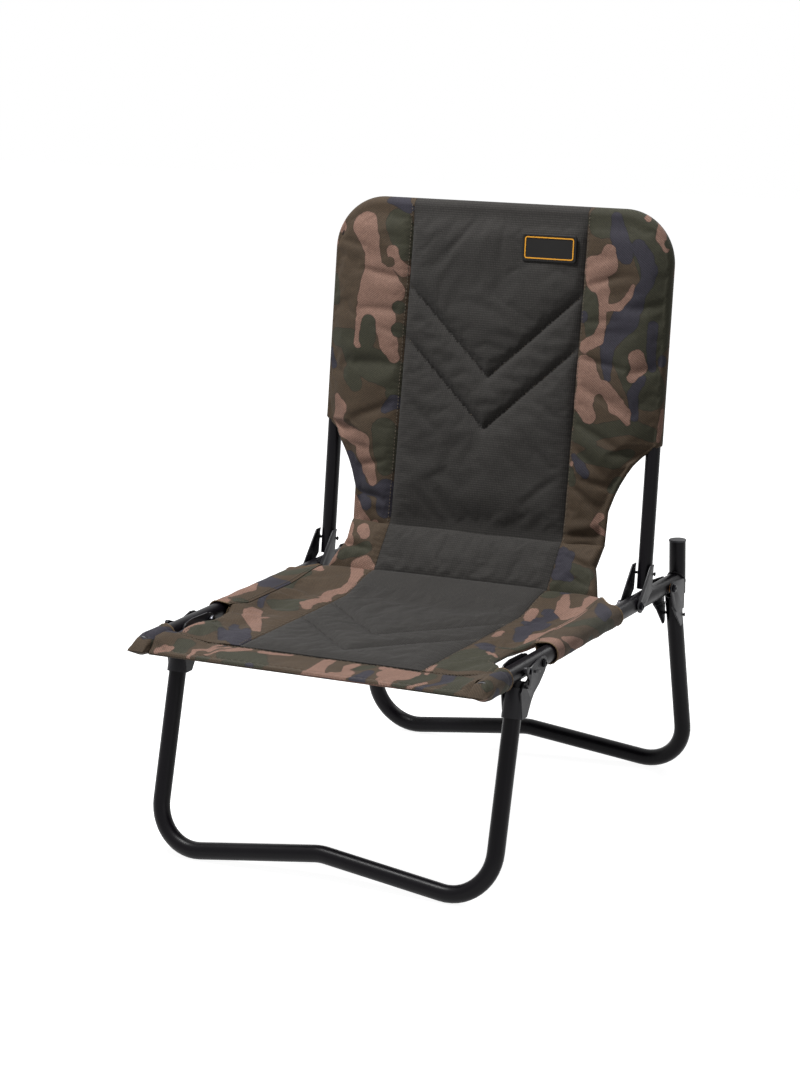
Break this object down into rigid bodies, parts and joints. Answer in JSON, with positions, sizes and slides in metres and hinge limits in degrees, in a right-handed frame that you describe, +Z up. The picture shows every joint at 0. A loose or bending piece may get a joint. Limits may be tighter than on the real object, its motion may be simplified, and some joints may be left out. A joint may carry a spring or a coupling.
{
  "type": "folding fishing chair",
  "caption": "Low folding chair with tubular steel leg hoops, a padded cloth sling seat and a reclined padded backrest.",
  "frame": {"origin": "on the ground, under the centre of the open chair's outer box", "axes": "the sitter looks along -Y, +Z is up, and +X is on the right of someone who faces the chair"},
  "size_m": [0.5114, 0.6368, 0.7733],
  "materials": {
    "black_steel": "satin black powder coat",
    "bracket_steel": "satin black paint on pressed sheet",
    "zinc_steel": "dark zinc plate",
    "brass": "dull brass",
    "black_plastic": "moulded matte black",
    "plain_cloth": "woven grey-green polyester",
    "camo_cloth": "woven polyester printed in four earth tones",
    "rubber": "moulded matte patch with an ochre rim"
  },
  "bodies": {
    "seat_frame": {"seat_rail_right": "black_steel", "seat_rail_left": "black_steel", "rear_post_right": "black_steel", "rear_post_left": "black_steel", "post_cap_right": "black_plastic", "post_cap_left": "black_plastic", "rail_end_plug_right": "black_plastic", "rail_end_plug_left": "black_plastic", "front_pivot_bolt_right": "zinc_steel", "front_pivot_bolt_left": "zinc_steel", "front_pivot_nut_right": "zinc_steel", "front_pivot_nut_left": "zinc_steel", "backrest_pivot_bolt_right": "zinc_steel", "backrest_pivot_bolt_left": "zinc_steel", "backrest_pivot_nut_right": "zinc_steel", "backrest_pivot_nut_left": "zinc_steel", "rear_pivot_bolt_right": "zinc_steel", "rear_pivot_bolt_left": "zinc_steel", "rear_pivot_nut_right": "zinc_steel", "rear_pivot_nut_left": "zinc_steel", "rear_pivot_washer_right": "brass", "rear_pivot_washer_left": "brass", "catch_pin_right": "zinc_steel", "catch_pin_left": "zinc_steel", "catch_spring_right": "zinc_steel", "catch_spring_left": "zinc_steel", "seat_centre_panel": "plain_cloth", "seat_side_panel_right": "camo_cloth", "seat_side_panel_left": "camo_cloth", "seat_front_band": "camo_cloth", "corner_pocket_right": "camo_cloth", "corner_pocket_left": "camo_cloth", "lumbar_centre_panel": "plain_cloth", "lumbar_side_panel_right": "camo_cloth", "lumbar_side_panel_left": "camo_cloth"},
    "backrest": {"backrest_hoop": "black_steel", "backrest_plate_outer_right": "bracket_steel", "backrest_plate_outer_left": "bracket_steel", "backrest_plate_inner_right": "bracket_steel", "backrest_plate_inner_left": "bracket_steel", "backrest_rivet_right": "zinc_steel", "backrest_rivet_left": "zinc_steel", "back_centre_panel": "plain_cloth", "back_side_panel_right": "camo_cloth", "back_side_panel_left": "camo_cloth", "back_badge": "rubber"},
    "front_legs": {"front_leg_hoop": "black_steel", "front_leg_bracket_right": "bracket_steel", "front_leg_bracket_left": "bracket_steel"},
    "rear_legs": {"rear_leg_hoop": "black_steel", "rear_leg_plate_outer_right": "bracket_steel", "rear_leg_plate_outer_left": "bracket_steel", "rear_leg_plate_inner_right": "bracket_steel", "rear_leg_plate_inner_left": "bracket_steel", "rear_leg_rivet_right": "zinc_steel", "rear_leg_rivet_left": "zinc_steel"},
    "catch_right": {"catch_lever_right": "bracket_steel"},
    "catch_left": {"catch_lever_left": "bracket_steel"}
  },
  "joints": [
    {"name": "backrest_fold", "type": "hinge", "parent": "seat_frame", "child": "backrest", "pos_m": [0, 0.12761, 0.2768], "axis": [1, 0, 0], "range_deg": [0, 93], "deforming": ["lumbar_centre_panel", "lumbar_side_panel_right", "lumbar_side_panel_left"]},
    {"name": "front_leg_fold", "type": "hinge", "parent": "seat_frame", "child": "front_legs", "pos_m": [0, -0.16239, 0.2768], "axis": [1, 0, 0], "range_deg": [0, 99]},
    {"name": "rear_leg_fold", "type": "hinge", "parent": "seat_frame", "child": "rear_legs", "pos_m": [0, 0.22961, 0.2768], "axis": [-1, 0, 0], "range_deg": [0, 100]},
    {"name": "catch_press_right", "type": "hinge", "parent": "seat_frame", "child": "catch_right", "pos_m": [0.2365, -0.20339, 0.2768], "axis": [1, 0, 0], "range_deg": [0, 25], "stiffness_Nm_per_rad": 0.05, "springref_deg": -11.46},
    {"name": "catch_press_left", "type": "hinge", "parent": "seat_frame", "child": "catch_left", "pos_m": [-0.2365, -0.20339, 0.2768], "axis": [1, 0, 0], "range_deg": [0, 25], "stiffness_Nm_per_rad": 0.05, "springref_deg": -11.46}
  ]
}
